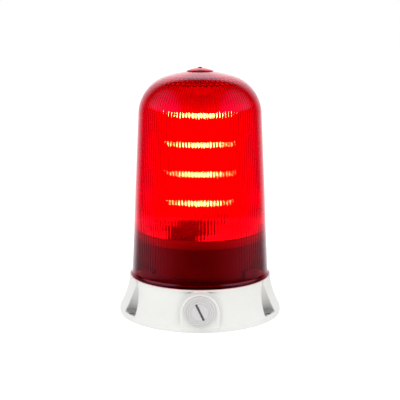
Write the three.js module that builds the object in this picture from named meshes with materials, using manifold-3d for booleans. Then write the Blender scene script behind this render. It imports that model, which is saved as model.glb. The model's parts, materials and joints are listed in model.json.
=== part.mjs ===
// Alarm beacon: a fluted dome over a round base, with an LED tower and its driver board inside.
// Millimetres, +Z up. The origin is the centre of the underside of the base; -Y is the front,
// the side of the cable entry.
import * as THREE from 'three';
import { mergeVertices } from 'three/addons/utils/BufferGeometryUtils.js';
import Module from 'manifold-3d';

const wasm = await Module();
wasm.setup();

// ---- Driving dimensions -------------------------------------------------------------------

const GAP = 0.3; // clearance between neighbouring pieces
const ROUND = 48; // segments on the large round pieces
const ROUND_MEDIUM = 28;
const ROUND_SMALL = 12;

// Base housing
const BASE_RADIUS = 75;
const FOOT_BAND = 4.5; // height of the straight band at the foot
const FLARE_TOP = 33.4;
const DECK = 35.7; // height of the deck under the dome's rim
const LIP_RADIUS = 65.8;
const WALL = 3;
const POT_RADIUS = 54.3; // inside of the round pot that holds the wiring space
const PILLAR_TOP = 49.5; // seat of the chassis
const PILLAR_RADIUS = 4;
const PILLAR_BORE = 2;
const PILLAR_BORE_DEPTH = 14;
const CAVITY_TOP = DECK - WALL;
const GASKET_GROOVE = [48, 51]; // radii of the groove in the underside
const GASKET_GROOVE_DEPTH = 1.5;
const GASKET_HEIGHT = 1.2;
const REAR_ENTRY_Y = 28; // a second cable hole, through the floor behind the centre
const REAR_ENTRY_RADIUS = 10;

// Fixing pockets, three at 60, 180 and 300 degrees from the front
const FIXING_ANGLES = [60, 180, 300];
const FIXING_PITCH_RADIUS = 70.5;
const FIXING_HOLE_RADIUS = 2.6;
const POCKET_RADIUS = 9.8;
const POCKET_CENTRE = 75.4;
const POCKET_FLOOR = 6;

// Cable entry at the front
const ENTRY_HEIGHT = 19.7;
const BOSS_FACE = 74.3;
const BOSS_HALF_WIDTH = 17.4;
const BOSS_TOP = 34.5;
const ENTRY_BORE = 10.3;
const PLUG_HEAD_RADIUS = 14;
const PLUG_HEAD_HEIGHT = 3.2;
const PLUG_SHANK_LENGTH = 12;
const PLUG_SLOT_TURN = 25.4; // degrees from upright
const WASHER_THICKNESS = 0.9;

// Dome
const DOME_FOOT = DECK + GAP;
const DOME_RIM_RADIUS = 64.8;
const DOME_LOWER_RADIUS = 63;
const DOME_SHOULDER_RADIUS = 56.3;
const DOME_SHOULDER = 183; // height where the straight side ends
const DOME_WALL = 2.4;
const SHOULDER_INSET = 20; // radius of the shoulder ellipse's centre
const SHOULDER_RISE = 36.6;
const SHOULDER_END = 72; // degrees of the ellipse before the crown takes over
const CROWN_OUTLINE = [[25, 219.5], [19, 221]]; // radius and height, from the shoulder inwards
const NUB_OUTLINE = [[12.4, 221.9], [11.8, 222.6], [6.2, 224.6], [2.8, 225.2]];
const TOTAL_HEIGHT = 226;
const DOME_INNER_FOOT = 60.2;
const SEAL_RADII = [61.5, 63.1];
const SEAL_HEIGHT = 1.2;

// Bayonet between the dome and the chassis skirt
const LUG_COUNT = 3;
const CHASSIS_LUG_RADIUS = 59.5;
const CHASSIS_LUG_ARC = 30;
const CHASSIS_LUG_Z = [44, 47];
const STOP_ARC = 3; // of the rib at the end of each chassis lug
const DOME_LUG_RADIUS = 57.9;
const DOME_LUG_ARC = 26;
const DOME_LUG_Z = [40.5, 43.4];
const LOCK_TWIST = 35; // degrees from the entry position to the locked one
const LUG_ANGLE = 90; // first chassis lug, anticlockwise from +X

// Chassis cup and driver board
const CUP_BOTTOM = PILLAR_TOP + GAP;
const CUP_FLOOR = CUP_BOTTOM + 2.5;
const CUP_RADIUS = 57.2;
const CUP_RIM_RADIUS = 56.5;
const CUP_STEP = 69;
const CUP_TOP = 77;
const CUP_INNER = 54.2;
const BOARD_BOTTOM = 69;
const BOARD_TOP = 70.6;
const BOARD_RADIUS = 50;
const BOARD_SCREW_RADIUS = 44;
const BOARD_SCREW_ANGLES = [30, 150, 270];
const CHASSIS_SCREW_RADIUS = 46;
const CHASSIS_SCREW_CLEARANCE = 2.1;
const CHASSIS_SCREW_ANGLES = [90, 210, 330];
const ON_BOARD = BOARD_TOP + GAP; // where components stand
const CENTRE_POST_RADIUS = 7; // of the posts that rise from the cup's floor to the board
const SIDE_POST_RADIUS = 3.5;
const SIDE_POST_BORE = 1.5;
const SIDE_POST_BORE_DEPTH = 9;

// LED tower
const LED_LEVELS = 4;
const FIRST_LED = 102;
const LED_PITCH = 26.8;
const LED_SIZE = 5;
const LED_HEIGHT = 1.6;
const TOWER_SIDES = 6;
const COLUMN_APOTHEM = 7;
const COLUMN_BORE = 3.3;
const COLUMN_Z = [78.3, 194];
const LED_BOARD_WIDTH = 7.8;
const LED_BOARD_THICKNESS = 1.2;
const LED_BOARD_Z = [79, 193];
const RING_RADII = [10.6, 11.8]; // the collars of foot and cap that hold the LED boards
const BOLT_RADIUS = 2;
const BOLT_CLEARANCE = BOLT_RADIUS + 0.4;

// ---- Geometry helpers ---------------------------------------------------------------------

const point = (x, y) => new THREE.Vector2(x, y);
const radians = (degrees) => THREE.MathUtils.degToRad(degrees);
const polar = (radius, degrees) => point(radius * Math.cos(radians(degrees)), radius * Math.sin(radians(degrees)));

// The geometry with shared vertices merged and no triangle that has collapsed to a line.
function welded(geometry) {
  const bare = new THREE.BufferGeometry();
  bare.setAttribute('position', geometry.attributes.position.clone());
  if (geometry.index) {
    bare.setIndex(geometry.index.clone());
  }
  const merged = mergeVertices(bare, 1e-4);
  const kept = [];
  for (let i = 0; i < merged.index.count; i += 3) {
    const corners = [0, 1, 2].map((k) => merged.index.getX(i + k));
    if (new Set(corners).size === 3) {
      kept.push(...corners);
    }
  }
  merged.setIndex(kept);
  return merged;
}

function toSolid(geometry) {
  const mesh = welded(geometry);
  return new wasm.Manifold(new wasm.Mesh({
    numProp: 3,
    vertProperties: new Float32Array(mesh.attributes.position.array),
    triVerts: new Uint32Array(mesh.index.array),
  }));
}

function toGeometry(solid) {
  const mesh = solid.getMesh();
  const geometry = new THREE.BufferGeometry();
  geometry.setAttribute('position', new THREE.BufferAttribute(mesh.vertProperties, mesh.numProp));
  geometry.setIndex(new THREE.BufferAttribute(mesh.triVerts, 1));
  return geometry;
}

// Joins `added` to `body`, then takes `removed` away.
function combine(body, added, removed) {
  let solid = toSolid(body);
  for (const geometry of added) {
    solid = solid.add(toSolid(geometry));
  }
  for (const geometry of removed) {
    solid = solid.subtract(toSolid(geometry));
  }
  return toGeometry(solid);
}

// A profile of (radius, height) points, anticlockwise, turned about Z.
function turned(profile, segments = ROUND) {
  return welded(new THREE.LatheGeometry(profile, segments).rotateX(Math.PI / 2));
}

function closedLoop(profile) {
  return [...profile, profile[0].clone()];
}

function disc(radius, bottom, top, x = 0, y = 0, segments = ROUND_SMALL) {
  const cylinder = new THREE.CylinderGeometry(radius, radius, top - bottom, segments);
  return cylinder.rotateX(Math.PI / 2).translate(x, y, (top + bottom) / 2);
}

function ring(inner, outer, bottom, top, segments = ROUND) {
  const corners = [point(inner, bottom), point(outer, bottom), point(outer, top), point(inner, top)];
  return turned(closedLoop(corners), segments);
}

function block(x, y, z) {
  const box = new THREE.BoxGeometry(x[1] - x[0], y[1] - y[0], z[1] - z[0]);
  return box.translate((x[0] + x[1]) / 2, (y[0] + y[1]) / 2, (z[0] + z[1]) / 2);
}

function prism(shape, bottom, top, curveSegments = ROUND_SMALL) {
  const extruded = new THREE.ExtrudeGeometry(shape, { depth: top - bottom, bevelEnabled: false, curveSegments });
  return extruded.translate(0, 0, bottom);
}

// A slice of a ring, `arc` degrees wide about the direction `middle`.
function ringSlice(inner, outer, bottom, top, middle, arc) {
  const from = radians(middle - arc / 2);
  const to = radians(middle + arc / 2);
  const shape = new THREE.Shape();
  shape.absarc(0, 0, outer, from, to, false);
  shape.absarc(0, 0, inner, to, from, true);
  shape.closePath();
  return prism(shape, bottom, top, 6);
}

function material(color, roughness, metalness = 0) {
  return new THREE.MeshStandardMaterial({ color, roughness, metalness });
}

function part(name, geometry, look, place = {}) {
  const mesh = new THREE.Mesh(welded(geometry), look);
  mesh.name = name;
  mesh.position.set(place.x ?? 0, place.y ?? 0, place.z ?? 0);
  mesh.rotation.z = radians(place.turn ?? 0);
  return mesh;
}

// ---- Materials ----------------------------------------------------------------------------

const looks = {
  housing: material(0xe6e8e3, 0.55),
  plug: material(0xd4d4d4, 0.5),
  rubber: material(0x2b2b2d, 0.85),
  dome: new THREE.MeshStandardMaterial({ color: 0xe00010, roughness: 0.08, transparent: true, opacity: 0.45 }),
  chassis: material(0x1a1a1c, 0.6),
  board: material(0x1d5a34, 0.45),
  ledBoard: material(0xf0f0ea, 0.4),
  steel: material(0xb9bcc0, 0.3, 1),
  aluminium: material(0xc9ccd0, 0.38, 1),
  terminal: material(0x2f7d4a, 0.5),
  component: material(0x202024, 0.45),
  sleeve: material(0x243a66, 0.4),
  glass: new THREE.MeshStandardMaterial({ color: 0xe8ecec, roughness: 0.05, transparent: true, opacity: 0.5 }),
  connector: material(0xefe9d8, 0.5),
  leadRed: material(0xb01818, 0.5),
  leadBlack: material(0x18181a, 0.5),
};

// ---- Base ---------------------------------------------------------------------------------

function flarePoints() {
  const flare = new THREE.QuadraticBezierCurve(point(74.6, FOOT_BAND + 0.4), point(67.4, 18.5), point(65.3, FLARE_TOP));
  return flare.getPoints(4);
}

function housingProfile() {
  const potOutside = POT_RADIUS + WALL;
  const [grooveInner, grooveOuter] = GASKET_GROOVE;
  const flare = flarePoints();
  const skirtInside = flare.map((p) => point(p.x - WALL, Math.min(p.y, CAVITY_TOP))).reverse();
  return [
    point(0, 0),
    point(grooveInner, 0),
    point(grooveInner, GASKET_GROOVE_DEPTH),
    point(grooveOuter, GASKET_GROOVE_DEPTH),
    point(grooveOuter, 0),
    point(potOutside, 0),
    point(potOutside, CAVITY_TOP),
    ...skirtInside,
    point(BASE_RADIUS - WALL, 0),
    point(BASE_RADIUS, 0),
    point(BASE_RADIUS, FOOT_BAND),
    ...flare,
    point(LIP_RADIUS, FLARE_TOP + 0.6),
    point(LIP_RADIUS, DECK - 0.5),
    point(LIP_RADIUS - 0.5, DECK),
    point(POT_RADIUS, DECK),
    point(POT_RADIUS, WALL),
    point(0, WALL),
  ];
}

// The material around one fixing pocket, kept inside the outside of the flare.
function pocketBlock(angle) {
  const centre = polar(POCKET_CENTRE, angle - 90);
  const envelope = turned([
    point(0, 0),
    point(BASE_RADIUS, 0),
    point(BASE_RADIUS, FOOT_BAND),
    ...flarePoints(),
    point(0, FLARE_TOP),
  ]);
  const column = disc(POCKET_RADIUS + WALL, 0, FLARE_TOP, centre.x, centre.y, ROUND_MEDIUM);
  return toGeometry(toSolid(column).intersect(toSolid(envelope)));
}

// The arch-fronted block that carries the cable entry, standing along -Y above the foot band.
function entryBoss() {
  const springing = BOSS_TOP - BOSS_HALF_WIDTH;
  const arch = new THREE.Shape();
  arch.moveTo(-BOSS_HALF_WIDTH, FOOT_BAND);
  arch.lineTo(BOSS_HALF_WIDTH, FOOT_BAND);
  arch.lineTo(BOSS_HALF_WIDTH, springing);
  arch.absarc(0, springing, BOSS_HALF_WIDTH, 0, Math.PI, false);
  arch.closePath();
  const bossRoot = POT_RADIUS + 0.2;
  return prism(arch, bossRoot, BOSS_FACE, 12).rotateX(Math.PI / 2);
}

function baseHousing() {
  const added = [entryBoss()];
  const removed = [
    disc(ENTRY_BORE, POT_RADIUS - 6, BASE_RADIUS + 1, 0, ENTRY_HEIGHT, ROUND_MEDIUM).rotateX(Math.PI / 2),
    disc(REAR_ENTRY_RADIUS, -1, WALL + 1, 0, REAR_ENTRY_Y, ROUND_MEDIUM),
  ];
  for (const angle of FIXING_ANGLES) {
    const pocket = polar(POCKET_CENTRE, angle - 90);
    const hole = polar(FIXING_PITCH_RADIUS, angle - 90);
    added.push(pocketBlock(angle));
    removed.push(disc(POCKET_RADIUS, POCKET_FLOOR, FLARE_TOP, pocket.x, pocket.y, ROUND_MEDIUM));
    removed.push(disc(FIXING_HOLE_RADIUS, -1, POCKET_FLOOR + 1, hole.x, hole.y));
  }
  for (const angle of CHASSIS_SCREW_ANGLES) {
    const pillar = polar(CHASSIS_SCREW_RADIUS, angle);
    added.push(disc(PILLAR_RADIUS, WALL - 0.5, PILLAR_TOP, pillar.x, pillar.y));
    removed.push(disc(PILLAR_BORE, PILLAR_TOP - PILLAR_BORE_DEPTH, PILLAR_TOP + 1, pillar.x, pillar.y));
  }
  return combine(turned(housingProfile()), added, removed);
}

function cableGrommet() {
  const neck = REAR_ENTRY_RADIUS - GAP;
  const flange = REAR_ENTRY_RADIUS + 2.5;
  const top = WALL + 2;
  const web = 2.2; // top of the thin web that the cable pierces
  return turned([
    point(0, GAP),
    point(neck, GAP),
    point(neck, WALL + GAP),
    point(flange, WALL + GAP),
    point(flange, top),
    point(7, top),
    point(6, web),
    point(0, web),
  ], ROUND_MEDIUM);
}

// Turned about its own axis; the head's underside is at zero and the face looks along +Z.
function cablePlug() {
  const shank = ENTRY_BORE - GAP;
  const body = turned([
    point(0, -PLUG_SHANK_LENGTH),
    point(shank - 0.8, -PLUG_SHANK_LENGTH),
    point(shank, 1 - PLUG_SHANK_LENGTH),
    point(shank, 0),
    point(PLUG_HEAD_RADIUS, 0),
    point(PLUG_HEAD_RADIUS, 2),
    point(PLUG_HEAD_RADIUS - 1, PLUG_HEAD_HEIGHT),
    point(0, PLUG_HEAD_HEIGHT),
  ], ROUND_MEDIUM);
  const slotFloor = PLUG_HEAD_HEIGHT - 1.2;
  const slot = block([-0.8, 0.8], [-7.7, 7.7], [slotFloor, PLUG_HEAD_HEIGHT + 1]);
  return combine(body, [], [slot.rotateZ(radians(PLUG_SLOT_TURN))]);
}

function baseGroup() {
  const group = new THREE.Group();
  group.add(part('base_housing', baseHousing(), looks.housing));
  const [grooveInner, grooveOuter] = GASKET_GROOVE;
  const gasket = ring(grooveInner + GAP, grooveOuter - GAP, 0, GASKET_HEIGHT);
  group.add(part('mounting_gasket', gasket, looks.rubber));
  group.add(part('cable_grommet', cableGrommet(), looks.rubber, { y: REAR_ENTRY_Y }));

  const entry = new THREE.Group();
  entry.position.set(0, -BOSS_FACE, ENTRY_HEIGHT);
  entry.rotation.x = Math.PI / 2;
  const washer = ring(ENTRY_BORE + 0.1, PLUG_HEAD_RADIUS - 0.6, 0, WASHER_THICKNESS, ROUND_MEDIUM);
  entry.add(part('cable_plug_washer', washer, looks.rubber, { z: GAP }));
  entry.add(part('cable_plug', cablePlug(), looks.plug, { z: WASHER_THICKNESS + 2 * GAP }));
  group.add(entry);
  return group;
}

// ---- Dome ---------------------------------------------------------------------------------

// The quarter ellipse of the shoulder, from its side up to the crown, `inset` inside the outer one.
function shoulderPoints(inset, count) {
  const points = [];
  for (let i = 0; i <= count; i += 1) {
    const angle = radians((SHOULDER_END * i) / count);
    points.push(point(
      SHOULDER_INSET + (DOME_SHOULDER_RADIUS - SHOULDER_INSET - inset) * Math.cos(angle),
      DOME_SHOULDER + (SHOULDER_RISE - inset) * Math.sin(angle),
    ));
  }
  return points;
}

// Up the inside from the crown's centre down to the foot, round the seal's groove and the rim,
// then up the outside to the tip of the nub.
function domeProfile() {
  const nubBase = NUB_OUTLINE[0][1];
  const crownInside = CROWN_OUTLINE.map(([radius, height]) => point(radius, height - DOME_WALL));
  const grooveInner = SEAL_RADII[0] - GAP;
  const grooveOuter = SEAL_RADII[1] + GAP;
  const grooveTop = DOME_FOOT + SEAL_HEIGHT + GAP;
  return [
    point(0, nubBase - DOME_WALL),
    ...crownInside.reverse(),
    ...shoulderPoints(DOME_WALL, 5).reverse(),
    point(DOME_INNER_FOOT, DOME_FOOT + 12),
    point(DOME_INNER_FOOT, DOME_FOOT),
    point(grooveInner, DOME_FOOT),
    point(grooveInner, grooveTop),
    point(grooveOuter, grooveTop),
    point(grooveOuter, DOME_FOOT),
    point(DOME_RIM_RADIUS, DOME_FOOT),
    point(DOME_RIM_RADIUS, DOME_FOOT + 1),
    point(DOME_RIM_RADIUS - 1.1, DOME_FOOT + 2.2),
    point(DOME_LOWER_RADIUS, DOME_FOOT + 8),
    ...shoulderPoints(0, 6),
    ...[...CROWN_OUTLINE, ...NUB_OUTLINE].map(([radius, height]) => point(radius, height)),
    point(0, TOTAL_HEIGHT),
  ];
}

function dome() {
  const lugs = [];
  for (let i = 0; i < LUG_COUNT; i += 1) {
    const middle = LUG_ANGLE + LOCK_TWIST + (360 / LUG_COUNT) * i;
    lugs.push(ringSlice(DOME_LUG_RADIUS, DOME_INNER_FOOT + 0.5, ...DOME_LUG_Z, middle, DOME_LUG_ARC));
  }
  return combine(turned(domeProfile()), lugs, []);
}

function domeGroup() {
  const group = new THREE.Group();
  group.add(part('dome', dome(), looks.dome));
  group.add(part('dome_seal', ring(...SEAL_RADII, 0, SEAL_HEIGHT), looks.rubber, { z: DOME_FOOT }));
  return group;
}

// ---- Chassis and driver board -------------------------------------------------------------

// A pan-head screw with a cross recess; the underside of its head is at zero.
function panHeadScrew(headRadius, headHeight, shankRadius, shankLength) {
  const body = turned([
    point(0, -shankLength),
    point(shankRadius * 0.6, -shankLength),
    point(shankRadius, -shankLength + shankRadius),
    point(shankRadius, 0),
    point(headRadius, 0),
    point(headRadius, headHeight * 0.5),
    point(headRadius * 0.7, headHeight),
    point(0, headHeight),
  ], 12);
  const arm = headRadius * 0.5;
  const slotDepth = headHeight * 0.5;
  const slots = [
    block([-arm, arm], [-0.3, 0.3], [slotDepth, headHeight + 1]),
    block([-0.3, 0.3], [-arm, arm], [slotDepth, headHeight + 1]),
  ];
  return combine(body, [], slots);
}

// An open-topped cup on a skirt that reaches down to the base's deck and carries the bayonet lugs.
function chassisCup() {
  const body = turned([
    point(0, CUP_BOTTOM),
    point(POT_RADIUS, CUP_BOTTOM),
    point(POT_RADIUS, DECK + GAP),
    point(CUP_RADIUS, DECK + GAP),
    point(CUP_RADIUS, CUP_STEP),
    point(CUP_RIM_RADIUS, CUP_STEP + 0.8),
    point(CUP_RIM_RADIUS, CUP_TOP),
    point(CUP_INNER, CUP_TOP),
    point(CUP_INNER, CUP_FLOOR),
    point(0, CUP_FLOOR),
  ]);
  const pillarTop = BOARD_BOTTOM - GAP;
  const added = [disc(CENTRE_POST_RADIUS, CUP_FLOOR - 0.5, pillarTop)];
  const removed = [disc(BOLT_RADIUS + GAP, CUP_FLOOR + 2, pillarTop + 1)];
  for (const angle of BOARD_SCREW_ANGLES) {
    const pillar = polar(BOARD_SCREW_RADIUS, angle);
    added.push(disc(SIDE_POST_RADIUS, CUP_FLOOR - 0.5, pillarTop, pillar.x, pillar.y));
    removed.push(disc(SIDE_POST_BORE, pillarTop - SIDE_POST_BORE_DEPTH, pillarTop + 1, pillar.x, pillar.y, 8));
  }
  for (const angle of CHASSIS_SCREW_ANGLES) {
    const hole = polar(CHASSIS_SCREW_RADIUS, angle);
    removed.push(disc(CHASSIS_SCREW_CLEARANCE, CUP_BOTTOM - 1, CUP_FLOOR + 1, hole.x, hole.y));
  }
  for (let i = 0; i < LUG_COUNT; i += 1) {
    const middle = LUG_ANGLE + (360 / LUG_COUNT) * i;
    const stop = middle - (CHASSIS_LUG_ARC + STOP_ARC) / 2;
    const root = CUP_RADIUS - 0.5;
    added.push(ringSlice(root, CHASSIS_LUG_RADIUS, ...CHASSIS_LUG_Z, middle, CHASSIS_LUG_ARC));
    added.push(ringSlice(root, CHASSIS_LUG_RADIUS, DOME_LUG_Z[0], CHASSIS_LUG_Z[1], stop, STOP_ARC));
  }
  return combine(body, added, removed);
}

function driverBoard() {
  const holes = [disc(BOLT_CLEARANCE, BOARD_BOTTOM - 1, BOARD_TOP + 1)];
  for (const angle of BOARD_SCREW_ANGLES) {
    const hole = polar(BOARD_SCREW_RADIUS, angle);
    holes.push(disc(SIDE_POST_BORE + 0.1, BOARD_BOTTOM - 1, BOARD_TOP + 1, hole.x, hole.y));
  }
  return combine(disc(BOARD_RADIUS, BOARD_BOTTOM, BOARD_TOP, 0, 0, ROUND), [], holes);
}

function chassisGroup() {
  const group = new THREE.Group();
  group.add(part('chassis_cup', chassisCup(), looks.chassis));
  group.add(part('driver_board', driverBoard(), looks.board));
  CHASSIS_SCREW_ANGLES.forEach((angle, i) => {
    const place = polar(CHASSIS_SCREW_RADIUS, angle);
    const screw = panHeadScrew(3.6, 2.4, 1.7, 12);
    const seat = { x: place.x, y: place.y, z: CUP_FLOOR + GAP, turn: 20 * i };
    group.add(part(`chassis_screw_${i + 1}`, screw, looks.steel, seat));
  });
  BOARD_SCREW_ANGLES.forEach((angle, i) => {
    const place = polar(BOARD_SCREW_RADIUS, angle);
    const screw = panHeadScrew(2.8, 2, 1.2, 8);
    const seat = { x: place.x, y: place.y, z: ON_BOARD, turn: 15 + 25 * i };
    group.add(part(`board_screw_${i + 1}`, screw, looks.steel, seat));
  });
  return group;
}

// ---- Components on the driver board -------------------------------------------------------

const POLES = 5;
const POLE_PITCH = 5.08;
const TERMINAL_WIDTH = 26.8;
const TERMINAL_DEPTH = 11;
const TERMINAL_HEIGHT = 14.1;
const TERMINAL_CENTRE = point(-15.4, -33.5);
const poleX = (i) => (i - (POLES - 1) / 2) * POLE_PITCH;

// Five-pole terminal block: wire entries at the front, screw wells on top.
function terminalBlock() {
  const outline = new THREE.Shape();
  outline.moveTo(-TERMINAL_DEPTH / 2, 0);
  outline.lineTo(TERMINAL_DEPTH / 2, 0);
  outline.lineTo(TERMINAL_DEPTH / 2, TERMINAL_HEIGHT);
  outline.lineTo(-1.5, TERMINAL_HEIGHT);
  outline.lineTo(-TERMINAL_DEPTH / 2, TERMINAL_HEIGHT - 3.5);
  outline.closePath();
  // Extruded along X: the outline's x becomes Y and its y becomes Z.
  const body = prism(outline, -TERMINAL_WIDTH / 2, TERMINAL_WIDTH / 2).rotateX(Math.PI / 2).rotateZ(Math.PI / 2);
  const removed = [];
  for (let i = 0; i < POLES; i += 1) {
    const x = poleX(i);
    removed.push(block([x - 1.9, x + 1.9], [-TERMINAL_DEPTH, -1], [1.8, 6.2]));
    removed.push(disc(2.1, 9, TERMINAL_HEIGHT + 1, x, 1.6, 12));
  }
  return combine(body, [], removed);
}

function slottedScrew(radius, height) {
  const slot = block([-radius * 2, radius * 2], [-0.35, 0.35], [height - 0.9, height + 1]);
  return combine(disc(radius, 0, height, 0, 0, 12), [], [slot]);
}

// A through-hole package stood on edge: a moulded body with a bare mounting tab above it.
function voltageRegulator() {
  const body = block([-0.65, 3.75], [-5, 5], [1, 9.6]);
  const tab = block([-0.65, 0.65], [-5, 5], [5, 15]);
  const legs = [-2.54, 0, 2.54].map((y) => block([1.2, 1.9], [y - 0.4, y + 0.4], [0, 1.5]));
  const hole = disc(1.8, -2, 2, 0, 0, 12).rotateY(Math.PI / 2).translate(0, 0, 12.2);
  return combine(body, [tab, ...legs], [hole]);
}

function rectifierBridge() {
  const legs = [-5.7, -1.9, 1.9, 5.7].map((x) => block([x - 0.4, x + 0.4], [-0.4, 0.4], [0, 2]));
  return combine(block([-7.5, 7.5], [-1.8, 1.8], [1.5, 12.5]), legs, []);
}

// A round can with a grooved foot and a rounded top edge.
function smoothingCapacitor() {
  const radius = 7.25;
  const height = 17.1;
  return turned([
    point(0, 0),
    point(radius - 0.5, 0),
    point(radius, 0.5),
    point(radius, 1.6),
    point(radius - 0.7, 2.2),
    point(radius, 2.8),
    point(radius, height - 0.6),
    point(radius - 0.6, height),
    point(0, height),
  ], 20);
}

function drumInductor() {
  return turned([
    point(0, 0),
    point(6.5, 0),
    point(6.5, 1.6),
    point(5.6, 1.8),
    point(5.6, 9.2),
    point(6.5, 9.4),
    point(6.5, 11),
    point(0, 11),
  ], 20);
}

const FUSE_HEIGHT = 5.4;
const FUSE_RADIUS = 2.6;
const FUSE_LENGTH = 20;
const CLIP_OFFSET = 7.6;

// The fuse lies along Y: a glass tube between two slightly wider end caps.
function fuse() {
  const half = FUSE_LENGTH / 2;
  const glassRadius = FUSE_RADIUS - 0.2;
  return turned([
    point(0, -half),
    point(FUSE_RADIUS, -half),
    point(FUSE_RADIUS, 5 - half),
    point(glassRadius, 5 - half),
    point(glassRadius, half - 5),
    point(FUSE_RADIUS, half - 5),
    point(FUSE_RADIUS, half),
    point(0, half),
  ], ROUND_SMALL).rotateX(Math.PI / 2);
}

// A spring clip: a base with two arms that curve round one end of the fuse.
function fuseClip() {
  const grip = FUSE_RADIUS + GAP;
  const sleeve = disc(grip + 0.8, -2, 2, 0, 0, ROUND_SMALL).rotateX(Math.PI / 2).translate(0, 0, FUSE_HEIGHT);
  const saddle = block([-2.2, 2.2], [-2, 2], [0, FUSE_HEIGHT - 1]);
  const inside = disc(grip, -3, 3, 0, 0, ROUND_SMALL).rotateX(Math.PI / 2).translate(0, 0, FUSE_HEIGHT);
  const mouth = block([-2, 2], [-3, 3], [FUSE_HEIGHT, FUSE_HEIGHT + 6]);
  return combine(saddle, [sleeve], [inside, mouth]);
}

function controllerChip() {
  const legs = [];
  for (let i = 0; i < 8; i += 1) {
    const x = (i - 3.5) * 1.27;
    legs.push(block([x - 0.2, x + 0.2], [-5.1, 5.1], [0, 0.4]));
  }
  return combine(block([-5.2, 5.2], [-3.75, 3.75], [0.1, 2.4]), legs, []);
}

function boardComponents() {
  const group = new THREE.Group();
  group.position.z = ON_BOARD;
  const { x, y } = TERMINAL_CENTRE;
  group.add(part('terminal_block', terminalBlock(), looks.terminal, { x, y }));
  for (let i = 0; i < POLES; i += 1) {
    const place = { x: x + poleX(i), y: y + 1.6, z: 9 + GAP, turn: 30 + 37 * i };
    group.add(part(`terminal_screw_${i + 1}`, slottedScrew(1.8, 3), looks.steel, place));
  }
  group.add(part('smoothing_capacitor', smoothingCapacitor(), looks.sleeve, { x: -14.2, y: -20 }));
  group.add(part('voltage_regulator', voltageRegulator(), looks.component, { x: 0.3, y: -29 }));
  group.add(part('rectifier_bridge', rectifierBridge(), looks.component, { x: 8, y: 36 }));
  group.add(part('inductor', drumInductor(), looks.component, { x: -32, y: 8 }));
  group.add(part('controller_chip', controllerChip(), looks.component, { x: -16, y: 30 }));
  const fuseX = 36;
  const fuseY = -2;
  group.add(part('fuse', fuse(), looks.glass, { x: fuseX, y: fuseY, z: FUSE_HEIGHT }));
  group.add(part('fuse_clip_1', fuseClip(), looks.steel, { x: fuseX, y: fuseY - CLIP_OFFSET }));
  group.add(part('fuse_clip_2', fuseClip(), looks.steel, { x: fuseX, y: fuseY + CLIP_OFFSET }));
  return group;
}

// ---- LED tower ----------------------------------------------------------------------------

function hexagon(apothem) {
  const shape = new THREE.Shape();
  for (let i = 0; i < TOWER_SIDES; i += 1) {
    const corner = polar(apothem / Math.cos(Math.PI / TOWER_SIDES), (360 / TOWER_SIDES) * i);
    if (i === 0) {
      shape.moveTo(corner.x, corner.y);
    } else {
      shape.lineTo(corner.x, corner.y);
    }
  }
  shape.closePath();
  return shape;
}

function towerColumn() {
  const shape = hexagon(COLUMN_APOTHEM);
  const bore = new THREE.Path();
  bore.absarc(0, 0, COLUMN_BORE, 0, 2 * Math.PI, true);
  shape.holes.push(bore);
  return prism(shape, COLUMN_Z[0], COLUMN_Z[1], 12);
}

function towerFoot() {
  const [inner, outer] = RING_RADII;
  return turned(closedLoop([
    point(BOLT_CLEARANCE, ON_BOARD),
    point(15, ON_BOARD),
    point(15, ON_BOARD + 2.5),
    point(outer, ON_BOARD + 2.5),
    point(outer, COLUMN_Z[0] + 7.7),
    point(inner, COLUMN_Z[0] + 7.7),
    point(inner, COLUMN_Z[0] - GAP),
    point(BOLT_CLEARANCE, COLUMN_Z[0] - GAP),
  ]), 24);
}

function towerCap() {
  const [inner, outer] = RING_RADII;
  const underside = COLUMN_Z[1] + GAP;
  return turned(closedLoop([
    point(BOLT_CLEARANCE, underside),
    point(inner, underside),
    point(inner, underside - 5.3),
    point(outer, underside - 5.3),
    point(outer, underside + 2.2),
    point(outer - 1, underside + 3.7),
    point(BOLT_CLEARANCE, underside + 3.7),
  ]), 24);
}

// A narrow board with its row of emitters, standing against the column's front face.
function ledBoard() {
  const back = COLUMN_APOTHEM + GAP;
  const front = back + LED_BOARD_THICKNESS;
  const board = block([-LED_BOARD_WIDTH / 2, LED_BOARD_WIDTH / 2], [-front, -back], LED_BOARD_Z);
  const emitters = [];
  for (let i = 0; i < LED_LEVELS; i += 1) {
    const z = FIRST_LED + LED_PITCH * i;
    const side = LED_SIZE / 2;
    emitters.push(block([-side, side], [-front - LED_HEIGHT, -front + 0.2], [z - side, z + side]));
  }
  return combine(board, emitters, []);
}

// An insulated lead that rises from the connector and bends in to the foot of an LED board.
function towerLead(side) {
  const path = new THREE.CatmullRomCurve3([
    new THREE.Vector3(24, side, 78.2),
    new THREE.Vector3(24, side, 83),
    new THREE.Vector3(20, side, 88.5),
    new THREE.Vector3(13, side, 90.5),
    new THREE.Vector3(8.9, side, 90.5),
  ]);
  const section = new THREE.Shape();
  section.absarc(0, 0, 0.7, 0, 2 * Math.PI, false);
  return new THREE.ExtrudeGeometry(section, { steps: 14, curveSegments: 4, extrudePath: path });
}

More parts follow.
